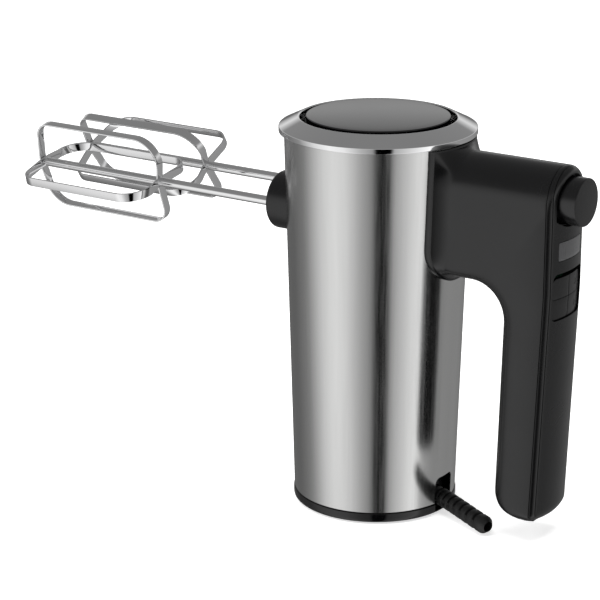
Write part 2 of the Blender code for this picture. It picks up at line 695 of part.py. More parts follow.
def handle_sections(front):
    """Closed sections from the arm's front end round to the grip's foot."""
    spread = spread_across()
    sections = []
    for x in (front, (front + INNER_CORNER_X) / 2):
        outer = [(x, y, arch_top(y)) for y in spread]
        inner = [(x, y, ARM_UNDERSIDE + edge_drop(y, ARM_EDGE)) for y in reversed(spread)]
        sections.append(outer + inner)
    for degrees in (90, 80, 70, 64, 60, 58, 55, 50, 42, 32, 20, 9):
        angle = math.radians(degrees)
        along, up = math.cos(angle), math.sin(angle)
        share = degrees / 90
        outer = []
        inner = []
        for y in spread:
            reach = fan_outer(y, angle)
            outer.append((INNER_CORNER_X + reach * along, y, INNER_CORNER_Z + reach * up))
        for y in reversed(spread):
            drop = share * edge_drop(y, ARM_EDGE) + (1 - share) * edge_drop(y, GRIP_EDGE)
            reach = INNER_CORNER_RADIUS + drop
            inner.append((INNER_CORNER_X + reach * along, y, INNER_CORNER_Z + reach * up))
        sections.append(outer + inner)
    foot = GRIP_BOTTOM + FOOT_EDGE_INNER
    for z in (INNER_CORNER_Z, 85, 60, 38, foot):
        outer = [(rear_x(y, z), y, z) for y in spread]
        inner = [(grip_inner_x(y, z), y, z) for y in reversed(spread)]
        sections.append(outer + inner)
    for degrees in (25, 45, 65, 90):
        z = foot - FOOT_EDGE_INNER * math.sin(math.radians(degrees))
        sink_inner = FOOT_EDGE_INNER * (1 - math.cos(math.radians(degrees)))
        over = max(GRIP_BOTTOM + FOOT_EDGE_OUTER - z, 0)
        sink_outer = FOOT_EDGE_OUTER - math.sqrt(FOOT_EDGE_OUTER**2 - over**2)
        narrow = (HANDLE_HALF_WIDTH - sink_outer) / HANDLE_HALF_WIDTH
        outer = [(rear_x(y, z) - sink_outer, y * narrow, z) for y in spread]
        inner = [(grip_inner_x(y, z) + sink_inner, y * narrow, z) for y in reversed(spread)]
        sections.append(outer + inner)
    return sections


def handle_solid(front=40.0):
    sections = handle_sections(front)
    around = len(sections[0])
    points = [point for section in sections for point in section]
    last = len(points) - around
    faces = [list(range(around)), list(range(last, last + around))]
    for level in range(len(sections) - 1):
        for step in range(around):
            after = (step + 1) % around
            low, high = level * around, (level + 1) * around
            faces.append([low + step, low + after, high + after, high + step])
    return points, faces


def behind_seam(offset):
    """The space behind the shell's seam with the rear cover."""
    x = SEAM_X + offset
    low = x - REAR_LEAN * REAR_LEAN_START
    outline = [(low, 0), (130, 0), (130, 200), (x, 200), (x, REAR_LEAN_START)]
    return prism(outline, -30, 30, "XZ")


def make_shell():
    shell = solid("handle_shell", handle_solid(), "black_satin")
    cut(shell, body_cone(FLANGE_THICKNESS + 2 * GAP, 100, 200))
    cut(shell, behind_seam(0))
    half = HOLLOW_HALF_WIDTH
    cut(shell, box((GRIP_HOLLOW_X, -half, GRIP_HOLLOW_BOTTOM), (120, half, 150)))
    cut(shell, box((ARM_HOLLOW_X, -half, ARM_HOLLOW_BOTTOM), (120, half, ARM_HOLLOW_TOP)))
    cut(shell, rod(12, 88, 120, 32), at=(0, 0, BUTTON_Z), turn=ALONG_X)
    cut(shell, rod(3, 30, 60, 16), at=(0, 0, BUTTON_Z), turn=ALONG_X)
    cut(shell, box((30, -7, 144), (60, 7, 158)))
    for height in HANDLE_SCREWS.values():
        cut(shell, rod(1.8, 30, 57, 12), at=(0, 0, height), turn=ALONG_X)


def make_flange():
    half, corner = FLANGE_HALF_WIDTH, FLANGE_CORNER
    corner_z = FLANGE_BOTTOM + corner
    outline = [(-half, FLANGE_TOP), (-half, corner_z + 2)]
    outline += arc((corner - half, corner_z), corner, 180, 270, 7)
    outline += arc((half - corner, corner_z), corner, 270, 360, 7)
    outline += [(half, FLANGE_TOP)]
    flange = solid("handle_flange", prism(outline, 30, 60, "YZ"), "black_satin")
    keep(flange, body_cone(GAP + FLANGE_THICKNESS, 100, 200))
    cut(flange, body_cone(GAP, 90, 210))
    cut(flange, box(*YOKE_OPENING))
    for place, height in HANDLE_SCREWS.items():
        cut(flange, rod(SCREW_HOLE_RADIUS, 30, 60, 12), at=(0, 0, height), turn=ALONG_X)
        screw = lathe([(0, 38.3), (2.6, 38.3), (2.6, 40.4), (1.4, 40.4), (1.4, 56), (0, 56)], 12)
        solid(f"handle_screw_{place}", screw, "steel", at=(0, 0, height), turn=ALONG_X)


def make_rear_cover():
    cover = solid("rear_cover", handle_solid(), "black_satin")
    keep(cover, behind_seam(GAP))
    cut(cover, rod(BUTTON_RADIUS + 0.4, 90, 120, 48), at=(0, 0, BUTTON_Z), turn=ALONG_X)
    pocket = sagging_arch(POCKET_HALF_WIDTH, BUTTON_Z + 0.01, POCKET_SHOULDER, POCKET_BOTTOM)
    cut(cover, prism(pocket, POCKET_FLOOR_X, 120, "YZ"))
    side = WINDOW_HALF_WIDTH + GAP
    cut(cover, box((90, -side, WINDOW_BOTTOM - GAP), (120, side, WINDOW_TOP + GAP)))
    side = KEYPAD_HALF_WIDTH
    cut(cover, box((90, -side, KEYPAD_BOTTOM), (120, side, KEYPAD_TOP)))


def make_controls():
    window = solid("display_window", handle_solid(), "smoked_window")
    side = WINDOW_HALF_WIDTH
    keep(window, box((102.5, -side, WINDOW_BOTTOM), (120, side, WINDOW_TOP)))
    for name, (low_y, low_z) in KEY_CORNERS.items():
        key = solid(name, handle_solid(), "black_satin", at=(-KEY_SETBACK, 0, 0))
        keep(key, box((99.0, low_y, low_z), (120, low_y + KEY_WIDTH, low_z + KEY_HEIGHT)))
    solid("control_board", box((94.6, -12, 105), (96.2, 12, 155)), "board_green")

    radius, face = BUTTON_RADIUS, BUTTON_FACE
    cap = [(0, face), (radius - 0.7, face), (radius, face - 0.7), (radius, 98.5), (9.6, 98.5)]
    cap += [(9.6, 109.5), (3.4, 109.5), (3.4, 99.5), (0, 99.5)]
    solid("eject_button", lathe(cap, 32), "black_satin", at=(0, 0, BUTTON_Z), turn=ALONG_X)


def make_ejector():
    push_rod = rod(ROD_RADIUS, 25, 99.2, 16)
    yoke = solid("ejector_yoke", push_rod, "steel", at=(0, 0, BUTTON_Z), turn=ALONG_X)
    crossbar = [(-25, 144.5), (25, 144.5), (25, 154.5), (6, 158), (4.5, 173), (-4.5, 173)]
    crossbar += [(-6, 158), (-25, 154.5)]
    join(yoke, prism(crossbar, 24.3, 26.8, "YZ"))
    join(yoke, rod(5.2, 64.3, 66, 20), at=(0, 0, BUTTON_Z), turn=ALONG_X)
    make_spring()


def make_spring():
    """A coil round the rod, between the arm's front wall and the rod's collar."""
    coil = bpy.data.curves.new("eject_spring", "CURVE")
    coil.dimensions = "3D"
    coil.bevel_depth = SPRING_WIRE_RADIUS * MM
    coil.bevel_resolution = 1
    coil.use_fill_caps = True
    steps = 14
    count = SPRING_TURNS * steps
    line = coil.splines.new("POLY")
    line.points.add(count)
    for index, point in enumerate(line.points):
        angle = 2 * math.pi * index / steps
        along = SPRING_START_X + SPRING_LENGTH * index / count
        across, up = SPRING_RADIUS * math.cos(angle), SPRING_RADIUS * math.sin(angle)
        point.co = (along * MM, across * MM, (BUTTON_Z + up) * MM, 1)
    spring = bpy.data.objects.new("eject_spring", coil)
    bpy.context.scene.collection.objects.link(spring)
    coil.materials.append(material("steel"))


# ---------------------------------------------------------------- strain relief


def relief_point(share):
    """Straight through the clamp, then a cubic curve out of the notch and down to just above the table."""
    if share < RELIEF_STRAIGHT_SHARE:
        along = RELIEF_START_X + (RELIEF_BEND_X - RELIEF_START_X) * share / RELIEF_STRAIGHT_SHARE
        return Vector((along, 0.0, RELIEF_Z))
    ahead = (share - RELIEF_STRAIGHT_SHARE) / (1 - RELIEF_STRAIGHT_SHARE)
    left = 1 - ahead
    weights = (left**3, 3 * left**2 * ahead, 3 * left * ahead**2, ahead**3)
    points = ((RELIEF_BEND_X, 0, RELIEF_Z), (42, -1, RELIEF_Z), (56, -8.8, 6.4), RELIEF_END)
    return sum((Vector(point) * weight for point, weight in zip(points, weights)), Vector())


def relief_ring(share, radius, segments):
    here = relief_point(share)
    run = (relief_point(share + 0.001) - here).normalized()
    side = Vector((-run.y, run.x, 0)).normalized()
    up = side.cross(run)
    ring = []
    for step in range(segments):
        angle = 2 * math.pi * step / segments
        ring.append(here + side * radius * math.cos(angle) + up * radius * math.sin(angle))
    return ring


def make_strain_relief():
    segments = 10
    rings = [relief_ring(0.0, RELIEF_RADIUS, segments), relief_ring(0.24, RELIEF_RADIUS, segments)]
    for rib in range(RIB_COUNT):
        start = RIB_START + rib * RIB_PITCH
        rings.append(relief_ring(start, RELIEF_GROOVE_RADIUS, segments))
        rings.append(relief_ring(start + 0.25 * RIB_PITCH, RELIEF_GROOVE_RADIUS, segments))
        rings.append(relief_ring(start + 0.3 * RIB_PITCH, RELIEF_RADIUS, segments))
        rings.append(relief_ring(min(start + 0.95 * RIB_PITCH, 0.999), RELIEF_RADIUS, segments))
    for share in (0.999, 0.7, 0.4, 0.0):
        rings.append(relief_ring(share, RELIEF_BORE_RADIUS, segments))
    points = [point for ring in rings for point in ring]
    faces = []
    count = len(rings)
    for level in range(count):
        low, high = level * segments, (level + 1) % count * segments
        for step in range(segments):
            after = (step + 1) % segments
            faces.append([low + step, low + after, high + after, high + step])
    solid("strain_relief", (points, faces), "rubber")

    clamp = solid("cord_clamp", box((29.5, -6.8, 4.5), (35.6, 6.8, 16)), "black_satin")
    cut(clamp, rod(RELIEF_RADIUS + GAP + 0.2, 20, 40, 20), at=(0, 0, RELIEF_Z), turn=ALONG_X)


def main():
    for existing in list(bpy.data.objects):
        bpy.data.objects.remove(existing)
    make_base()
    make_sleeve()
    make_top()
    make_motor()
    make_gears()
    make_gearbox()
    make_collar()
    make_beaters()
    make_shell()
    make_flange()
    make_rear_cover()
    make_controls()
    make_ejector()
    make_strain_relief()


main()
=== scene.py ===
import json
import math

import bmesh
import bpy
from mathutils import Matrix, Vector


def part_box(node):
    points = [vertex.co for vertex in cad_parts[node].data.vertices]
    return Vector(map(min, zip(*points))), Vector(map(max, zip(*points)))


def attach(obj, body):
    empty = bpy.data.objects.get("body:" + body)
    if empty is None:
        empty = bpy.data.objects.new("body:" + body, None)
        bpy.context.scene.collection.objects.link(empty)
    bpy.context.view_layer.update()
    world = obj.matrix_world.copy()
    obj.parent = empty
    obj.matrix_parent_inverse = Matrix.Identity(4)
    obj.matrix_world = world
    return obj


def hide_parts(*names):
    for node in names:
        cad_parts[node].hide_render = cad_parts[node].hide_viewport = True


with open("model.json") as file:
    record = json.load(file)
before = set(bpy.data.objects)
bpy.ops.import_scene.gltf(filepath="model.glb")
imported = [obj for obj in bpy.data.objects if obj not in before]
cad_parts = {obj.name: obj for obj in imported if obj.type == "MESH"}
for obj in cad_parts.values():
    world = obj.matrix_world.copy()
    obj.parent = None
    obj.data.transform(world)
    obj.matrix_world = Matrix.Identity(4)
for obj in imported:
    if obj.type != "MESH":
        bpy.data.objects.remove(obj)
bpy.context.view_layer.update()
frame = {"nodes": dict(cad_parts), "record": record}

MM = 0.001
NODES = frame["nodes"]
RECORD = frame["record"]
SLOT_OF = {part["node"]: part["material_slot"] for part in RECORD["subparts"]}
BODY_OF = {node: body for body, nodes in RECORD["behaviour"]["bodies"].items() for node in nodes}
ALONG_X = Matrix.Rotation(math.pi / 2, 4, "Y")


def low(node, axis):
    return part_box(node)[0][axis] / MM


def high(node, axis):
    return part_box(node)[1][axis] / MM


# Sizes in millimetres, read from the frame wherever it holds them.
SLEEVE_BOTTOM, SLEEVE_TOP = low("steel_sleeve", 2), high("steel_sleeve", 2)
SLEEVE_RADIUS_TOP = high("steel_sleeve", 1)
SLEEVE_RADIUS_BOTTOM = 40.2
SLEEVE_WALL = 0.8
BEZEL_RADIUS, BEZEL_TOP = high("top_bezel", 1), high("top_bezel", 2)
BEZEL_BORE = 37.9
CAP_RADIUS, CAP_TOP = high("top_cap", 1), high("top_cap", 2)
CAP_RISE = 0.5
BASE_RADIUS = high("base_plate", 1)
PAD_RADIUS, PAD_TOP = high("base_pad", 1), high("base_pad", 2)
NOTCH_HALF_WIDTH, NOTCH_TOP = 7.4, 18.8
COLLAR_FRONT, COLLAR_HALF_WIDTH = low("beater_collar", 0), high("beater_collar", 1)
SPINDLE_Z = (low("beater_collar", 2) + high("beater_collar", 2)) / 2
COLLAR_HALF_HEIGHT = high("beater_collar", 2) - SPINDLE_Z
SPINDLE_OFFSET = (low("right_spindle", 1) + high("right_spindle", 1)) / 2
COLLAR_SEAT_RADIUS, COLLAR_EDGE = 42.35, 1.6
BORE_RADIUS = 6.1
FIT = 0.3
BASE_LIP, BASE_SCREW_Y = 0.4, 24.0
PAD_GROOVES, PAD_GROOVE_WIDTH, PAD_GROOVE_DEPTH = (12, 24), 1.2, 0.5
SCREW_HEIGHTS, SCREW_HOLE_RADIUS = (136.0, 176.8), 1.9
YOKE_OPENING = ((30, -10, 142), (60, 10, 172.6))

SHAFT_RADIUS = 2.35
BEATER_TIP, BEATER_REAR = -193.0, -116.8
CAGE_RADIUS = 23.0
STRIP_WIDTH, STRIP_THICKNESS, STRIP_EDGE = 4.7, 0.9, 0.22
ARM_SLANT, CORNER_TIGHT, CORNER_WIDE = 1.4, 8.0, 13.0
LEFT_PHASE = math.radians(13)
RIGHT_PHASE = math.radians(45) - LEFT_PHASE

HALF_WIDTH = high("handle_shell", 1)
ARCH_Z = high("handle_shell", 2) - HALF_WIDTH
ARM_UNDERSIDE = 125.6
CORNER_X, CORNER_Z, CORNER_RADIUS = 60.0, 108.6, 17.0
GRIP_BOTTOM = low("handle_shell", 2)
GRIP_EDGE, ARM_EDGE = 9.0, 8.0
FOOT_EDGE_INNER, FOOT_EDGE_OUTER = 13.0, 6.0
REAR_FACE_X, REAR_CROWN = 106.0, 94.0
REAR_LEAN_START, REAR_LEAN, INNER_LEAN = 125.0, 0.040, 0.027
TOP_CORNER = 4.0
SEAM_X, SEAM_GAP, TRIM_DEPTH = 100.8, 0.3, 2.2
FLANGE_HALF_WIDTH, FLANGE_THICKNESS = 20.5, 2.0
FLANGE_TOP, FLANGE_BOTTOM = 187.0, 121.0
FLANGE_CORNER, FLANGE_RIM = 18.0, 0.9
FLARE_CENTRE_Z, FLARE_DEPTH, FLARE_SWEEP = 152.0, 9.0, 2.6
FLARE_STEPS, FLARE_SIDES = 14, 144
HOLLOWS = (((80.5, -13.2, 22), (120, 13.2, 150)), ((51, -13.2, 131), (120, 13.2, 174)))
BUTTON_Z = (low("eject_button", 2) + high("eject_button", 2)) / 2
BUTTON_RADIUS = (high("eject_button", 2) - low("eject_button", 2)) / 2
BUTTON_FACE = high("eject_button", 0)
POCKET_HALF_WIDTH, POCKET_BOTTOM, POCKET_SHOULDER, POCKET_FLOOR_X = 12.7, 156.8, 161.0, 102.6
KEYPAD_HALF_WIDTH, KEYPAD_BOTTOM, KEYPAD_TOP = 13.4, 112.7, 135.6
KEYS_HALF_WIDTH = high("key_upper_right", 1)
KEYS_BOTTOM, KEYS_TOP = low("key_lower_left", 2), high("key_upper_left", 2)
KEY_CORNER = 2.4
KEY_RECESS = 0.9
MARK_Y, MARK_RADIUS, MARK_WIDTH, MARK_HEIGHT = 6.6, 1.5, 0.16, 0.07
WINDOW_HALF_WIDTH, WINDOW_HALF_HEIGHT, WINDOW_Z = 10.3, 4.4, 146.1

RELIEF_RADIUS, RELIEF_GROOVE, RELIEF_BORE = 4.5, 3.3, 2.6
RELIEF_Z = 7.8
RELIEF_START_X, RELIEF_BEND_X, RELIEF_STRAIGHT_SHARE = 28.0, 34.0, 0.13
RELIEF_END = (75.0, -16.6, 5.0)
RIB_COUNT, RIB_START, RIB_PITCH = 8, 0.27, 0.0875


# ---------------------------------------------------------------- mesh helpers


def solid(name, shape, place=None, smooth=35):
    """One object from points in millimetres, moved by a matrix whose translation is in millimetres."""
    points, faces = shape
    if place is not None:
        points = [place @ Vector(point) for point in points]
    mesh = bpy.data.meshes.new(name)
    mesh.from_pydata([Vector(point) * MM for point in points], [], faces)
    work = bmesh.new()
    work.from_mesh(mesh)
    bmesh.ops.remove_doubles(work, verts=work.verts, dist=1e-6)
    bmesh.ops.recalc_face_normals(work, faces=work.faces)
    work.to_mesh(mesh)
    work.free()
    mesh.shade_smooth()
    mesh.set_sharp_from_angle(angle=math.radians(smooth))
    made = bpy.data.objects.new(name, mesh)
    bpy.context.scene.collection.objects.link(made)
    return made


def settle(piece, smooth=35):
    """Turns a piece's modifiers into its mesh."""
    bpy.context.view_layer.update()
    graph = bpy.context.evaluated_depsgraph_get()
    mesh = bpy.data.meshes.new_from_object(piece.evaluated_get(graph))
    piece.modifiers.clear()
    piece.data = mesh
    mesh.shade_smooth()
    mesh.set_sharp_from_angle(angle=math.radians(smooth))
    return piece


def shaped(piece, operation, shape, place=None):
    """Cuts, joins or keeps a shape, and leaves no helper behind."""
    helper = solid(piece.name + "_helper", shape, place)
    modifier = piece.modifiers.new("shape", "BOOLEAN")
    modifier.operation = operation
    modifier.object = helper
    settle(piece)
    bpy.data.objects.remove(helper)
    return piece


def cut(piece, shape, place=None):
    return shaped(piece, "DIFFERENCE", shape, place)


def keep(piece, shape, place=None):
    return shaped(piece, "INTERSECT", shape, place)


def absorb(piece, other):
    """Adds another object's mesh to a piece, and leaves no helper behind."""
    joined = bpy.data.meshes.new(piece.name + "_mesh")
    work = bmesh.new()
    work.from_mesh(piece.data)
    work.from_mesh(other.data)
    work.to_mesh(joined)
    work.free()
    joined.shade_smooth()
    joined.set_sharp_from_angle(angle=math.radians(40))
    piece.data = joined
    bpy.data.objects.remove(other)


def bevelled(piece, width, segments=2, angle=40):
    """Rounds the edges that are sharper than angle."""
    modifier = piece.modifiers.new("edges", "BEVEL")
    modifier.width = width * MM
    modifier.segments = segments
    modifier.limit_method = "ANGLE"
    modifier.angle_limit = math.radians(angle)
    modifier.use_clamp_overlap = True
    modifier.miter_outer = "MITER_ARC"
    return settle(piece, angle)


def merged(*shapes):
    points = []
    faces = []
    for shape_points, shape_faces in shapes:
        start = len(points)
        points += shape_points
        faces += [[start + index for index in face] for face in shape_faces]
    return points, faces


def arc(centre, radius, start, end, steps):
    found = []
    for step in range(steps + 1):
        angle = math.radians(start + (end - start) * step / steps)
        found.append((centre[0] + radius * math.cos(angle), centre[1] + radius * math.sin(angle)))
    return found


def softened(outline, steps=4):
    """Rounds each corner (u, v, size) of a closed outline; a corner without a size stays sharp."""
    found = []
    for index, corner in enumerate(outline):
        here = Vector(corner[:2])
        if len(corner) < 3:
            found.append(tuple(here))
            continue
        before = Vector(outline[index - 1][:2]) - here
        after = Vector(outline[(index + 1) % len(outline)][:2]) - here
        start = here + before.normalized() * min(corner[2], 0.48 * before.length)
        end = here + after.normalized() * min(corner[2], 0.48 * after.length)
        for step in range(steps + 1):
            share = step / steps
            point = start * (1 - share) ** 2 + here * 2 * share * (1 - share) + end * share**2
            found.append(tuple(point))
    return found


def rounded_box(half_u, half_v, radius, steps=10, centre=(0, 0)):
    outline = []
    for sign_u, sign_v, start in ((1, 1, 0), (-1, 1, 90), (-1, -1, 180), (1, -1, 270)):
        corner = (centre[0] + sign_u * (half_u - radius), centre[1] + sign_v * (half_v - radius))
        outline += arc(corner, radius, start, start + 90, steps)
    return outline


def lathe(profile, segments=128):
    """A turned shape about Z from a closed loop of (radius, z)."""
    points = []
    faces = []
    for radius, height in profile:
        for step in range(segments):
            angle = 2 * math.pi * step / segments
            points.append((radius * math.cos(angle), radius * math.sin(angle), height))
    for level in range(len(profile)):
        start, following = level * segments, (level + 1) % len(profile) * segments
        for step in range(segments):
            after = (step + 1) % segments
            faces.append([start + step, start + after, following + after, following + step])
    return points, faces


def lofted(rings, closed_ends=True):
    """A skin over rings of equal length."""
    around = len(rings[0])
    points = [point for ring in rings for point in ring]
    faces = []
    for level in range(len(rings) - 1):
        start, following = level * around, (level + 1) * around
        for step in range(around):
            after = (step + 1) % around
            faces.append([start + step, start + after, following + after, following + step])
    if closed_ends:
        faces.append(list(range(around)))
        faces.append(list(range(len(points) - around, len(points))))
    return points, faces


def prism(outline, start, end, plane="XY"):
    """An outline pushed along the axis that its plane leaves out."""
    place = {
        "XY": lambda u, v, w: (u, v, w),
        "XZ": lambda u, v, w: (u, w, v),
        "YZ": lambda u, v, w: (w, u, v),
    }[plane]
    return lofted([[place(u, v, w) for u, v in outline] for w in (start, end)])


def block(start, end):
    outline = [(start[0], start[1]), (end[0], start[1]), (end[0], end[1]), (start[0], end[1])]
    return prism(outline, start[2], end[2])


def rod(radius, start, end, segments=48):
    return lathe([(0, start), (radius, start), (radius, end), (0, end)], segments)


def along_x(y, z):
    """Places a shape turned about Z so that it turns about a line along X."""
    return Matrix.Translation((0, y, z)) @ ALONG_X


# ---------------------------------------------------------------- materials


class Graph:
    """A material's nodes, with one Principled shader and object coordinates."""

    def __init__(self, name, colour, roughness, metallic=0.0):
        self.material = bpy.data.materials.new(name)
        self.material.use_nodes = True
        self.nodes = self.material.node_tree.nodes
        self.links = self.material.node_tree.links
        self.shader = self.nodes["Principled BSDF"]
        self.shader.inputs["Base Color"].default_value = (*colour, 1)
        self.shader.inputs["Roughness"].default_value = roughness
        self.shader.inputs["Metallic"].default_value = metallic
        self.place = self.nodes.new("ShaderNodeTexCoord").outputs["Object"]

    def scaled(self, scale):
        mapping = self.nodes.new("ShaderNodeMapping")
        mapping.inputs["Scale"].default_value = scale
        self.links.new(self.place, mapping.inputs["Vector"])
        return mapping.outputs["Vector"]

    def noise(self, scale, detail=4.0, stretch=(1, 1, 1)):
        texture = self.nodes.new("ShaderNodeTexNoise")
        texture.inputs["Scale"].default_value = scale
        texture.inputs["Detail"].default_value = detail
        self.links.new(self.scaled(stretch), texture.inputs["Vector"])
        return texture.outputs["Fac"]

    def ranged(self, value, start, end):
        spread = self.nodes.new("ShaderNodeMapRange")
        spread.inputs["To Min"].default_value = start
        spread.inputs["To Max"].default_value = end
        spread.inputs["From Min"].default_value = 0.3
        spread.inputs["From Max"].default_value = 0.7
        self.links.new(value, spread.inputs["Value"])
        return spread.outputs["Result"]

    def vary_roughness(self, value, start, end):
        self.links.new(self.ranged(value, start, end), self.shader.inputs["Roughness"])

    def vary_colour(self, value, first, second):
        ramp = self.nodes.new("ShaderNodeMix")
        ramp.data_type = "RGBA"
        self.links.new(self.ranged(value, 0, 1), ramp.inputs["Factor"])
        ramp.inputs["A"].default_value = (*first, 1)
        ramp.inputs["B"].default_value = (*second, 1)
        self.links.new(ramp.outputs["Result"], self.shader.inputs["Base Color"])

    def bump(self, value, height, strength=1.0):
        bump = self.nodes.new("ShaderNodeBump")
        bump.inputs["Distance"].default_value = height * MM
        bump.inputs["Strength"].default_value = strength
        self.links.new(value, bump.inputs["Height"])
        self.links.new(bump.outputs["Normal"], self.shader.inputs["Normal"])

    def stripes(self, scale, direction="Z"):
        wave = self.nodes.new("ShaderNodeTexWave")
        wave.bands_direction = direction
        wave.inputs["Scale"].default_value = scale
        self.links.new(self.place, wave.inputs["Vector"])
        return wave.outputs["Fac"]


def brushed_steel():
    """Satin steel, with fine grain that runs up and down the body."""
    graph = Graph("brushed_steel", (0.62, 0.62, 0.615), 0.2, 1.0)
    grain = graph.noise(900, 3.0, (1, 1, 0.012))
    broad = graph.noise(40, 3.0, (1, 1, 0.05))
    graph.vary_roughness(grain, 0.17, 0.25)
    graph.vary_colour(broad, (0.58, 0.58, 0.575), (0.65, 0.65, 0.645))
    graph.bump(grain, 0.006, 0.35)
    return graph.material


def chrome():
    graph = Graph("chrome", (0.8, 0.8, 0.805), 0.06, 1.0)
    graph.vary_roughness(graph.noise(60, 4.0), 0.045, 0.085)
    return graph.material


def moulded_black(name, colour, start, end, grain_height):
    """Black plastic with the fine grain of its mould."""
    graph = Graph(name, colour, start)
    grain = graph.noise(2600, 2.0)
    graph.vary_roughness(graph.noise(55, 5.0), start, end)
    graph.vary_colour(graph.noise(30, 3.0), colour, tuple(1.25 * value for value in colour))
    graph.bump(grain, grain_height, 0.5)
    return graph.material


def gloss_black():
    graph = Graph("gloss_black", (0.002, 0.002, 0.0022), 0.07)
    graph.vary_roughness(graph.noise(35, 4.0), 0.05, 0.1)
    return graph.material


def smoked_window():
    graph = Graph("smoked_window", (0.045, 0.045, 0.047), 0.14)
    graph.vary_roughness(graph.noise(80, 3.0), 0.11, 0.18)
    graph.shader.inputs["Coat Weight"].default_value = 0.6
    return graph.material


def rubber():
    graph = Graph("rubber_black", (0.006, 0.006, 0.006), 0.5)
    graph.vary_roughness(graph.noise(120, 4.0), 0.42, 0.55)
    graph.bump(graph.noise(1500, 3.0), 0.03, 0.4)
    return graph.material


def cast(name, first, second, start, end, metallic=0.0, stripes=0):
    """A plain inner material with slow colour variation, and stripes for windings or laminations."""
    graph = Graph(name, first, start, metallic)
    graph.vary_colour(graph.noise(90, 4.0), first, second)
    graph.vary_roughness(graph.noise(160, 3.0), start, end)
    height = graph.stripes(stripes) if stripes else graph.noise(700, 3.0)
    graph.bump(height, 0.05, 0.4)
    return graph.material


def make_materials():
    return {
        "brushed_steel": brushed_steel(),
        "chrome": chrome(),
        "gloss_black": gloss_black(),
        "satin_black": moulded_black("satin_black", (0.0018, 0.0018, 0.002), 0.21, 0.28, 0.008),
        "smoked_window": smoked_window(),
        "rubber_black": rubber(),
        "nylon": cast("nylon", (0.78, 0.77, 0.72), (0.7, 0.69, 0.63), 0.45, 0.6),
        "bronze": cast("bronze", (0.55, 0.36, 0.17), (0.45, 0.29, 0.13), 0.3, 0.45, 1.0),
        "copper": cast("copper", (0.72, 0.33, 0.18), (0.6, 0.26, 0.13), 0.25, 0.4, 1.0, 320),
        "lamination": cast("lamination", (0.32, 0.33, 0.35), (0.26, 0.27, 0.29), 0.4, 0.55, 1.0, 320),
        "plain_steel": cast("plain_steel", (0.55, 0.55, 0.56), (0.5, 0.5, 0.51), 0.22, 0.36, 1.0),
        "carbon": cast("carbon", (0.04, 0.04, 0.04), (0.03, 0.03, 0.03), 0.5, 0.65),
        "circuit_board": cast("circuit_board", (0.03, 0.2, 0.09), (0.02, 0.15, 0.07), 0.35, 0.5),
        "capacitor_yellow": cast("capacitor_yellow", (0.75, 0.6, 0.1), (0.66, 0.5, 0.08), 0.4, 0.5),
    }


LOOKS = make_materials()


def stands_for(piece, node):
    """Gives a rebuilt piece the body of the CAD node it replaces and the material of that node's slot, and
    hides that node.
    """
    piece.data.materials.clear()
    piece.data.materials.append(LOOKS[SLOT_OF[node]])
    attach(piece, BODY_OF[node])
    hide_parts(node)
    return piece


def dress_cad_nodes():
    for node, piece in NODES.items():
        piece.data.materials.clear()
        piece.data.materials.append(LOOKS[SLOT_OF[node]])


# ---------------------------------------------------------------- body


def body_radius(height):
    share = (height - SLEEVE_BOTTOM) / (SLEEVE_TOP - SLEEVE_BOTTOM)
    return SLEEVE_RADIUS_BOTTOM + share * (SLEEVE_RADIUS_TOP - SLEEVE_RADIUS_BOTTOM)


def body_cone(offset, start, end, segments=192):
    profile = [(0, start), (body_radius(start) + offset, start), (body_radius(end) + offset, end), (0, end)]
    return lathe(profile, segments)


def make_sleeve():
    start, end = SLEEVE_BOTTOM, SLEEVE_TOP
    profile = softened([
        (body_radius(start), start, 0.25),
        (body_radius(end), end, 0.25),
        (body_radius(end) - SLEEVE_WALL, end, 0.15),
        (body_radius(start) - SLEEVE_WALL, start, 0.15),
    ])
    sleeve = solid("sleeve_skin", lathe(profile, 256))
    cut(sleeve, prism(rounded_box(NOTCH_HALF_WIDTH, NOTCH_TOP, 3, 8), 30, 60, "YZ"))
    half_height = COLLAR_HALF_HEIGHT + FIT
    collar = rounded_box(COLLAR_HALF_WIDTH + FIT, half_height, half_height - 0.05, 16, (0, SPINDLE_Z))
    cut(sleeve, prism(collar, -60, -20, "YZ"))
    cut(sleeve, block(*YOKE_OPENING))
    for height in SCREW_HEIGHTS:
        cut(sleeve, rod(SCREW_HOLE_RADIUS, 30, 60, 24), along_x(0, height))
    stands_for(sleeve, "steel_sleeve")


def make_base():
    lip = PAD_RADIUS + BASE_LIP
    profile = softened([
        (0, 1.9), (lip, 1.9), (lip, 0.6, 0.3), (BASE_RADIUS, 0.6, 2.8), (BASE_RADIUS, 5.4, 0.3),
        (38.9, 5.4), (38.9, 9, 0.3), (37.4, 9, 0.3), (37.4, 4.2), (0, 4.2),
    ], 6)
    base = solid("base_shell", lathe(profile, 192))
    cut(base, block((33, -NOTCH_HALF_WIDTH, 1.7), (50, NOTCH_HALF_WIDTH, 12)))
    cut(base, block((27, -5, 3), (34, 5, 12)))
    for side in (-1, 1):
        cut(base, rod(1.8, 1, 6, 24), Matrix.Translation((0, side * BASE_SCREW_Y, 0)))
    stands_for(base, "base_plate")

    grooves = []
    for inner in PAD_GROOVES:
        outer = inner + PAD_GROOVE_WIDTH
        grooves += [(inner, 0), (inner, PAD_GROOVE_DEPTH), (outer, PAD_GROOVE_DEPTH), (outer, 0)]
    pad = softened([(0, 0)] + grooves + [(PAD_RADIUS, 0, 0.5), (PAD_RADIUS, PAD_TOP, 0.2), (0, PAD_TOP)])
    stands_for(solid("foot_pad", lathe(pad, 128)), "base_pad")


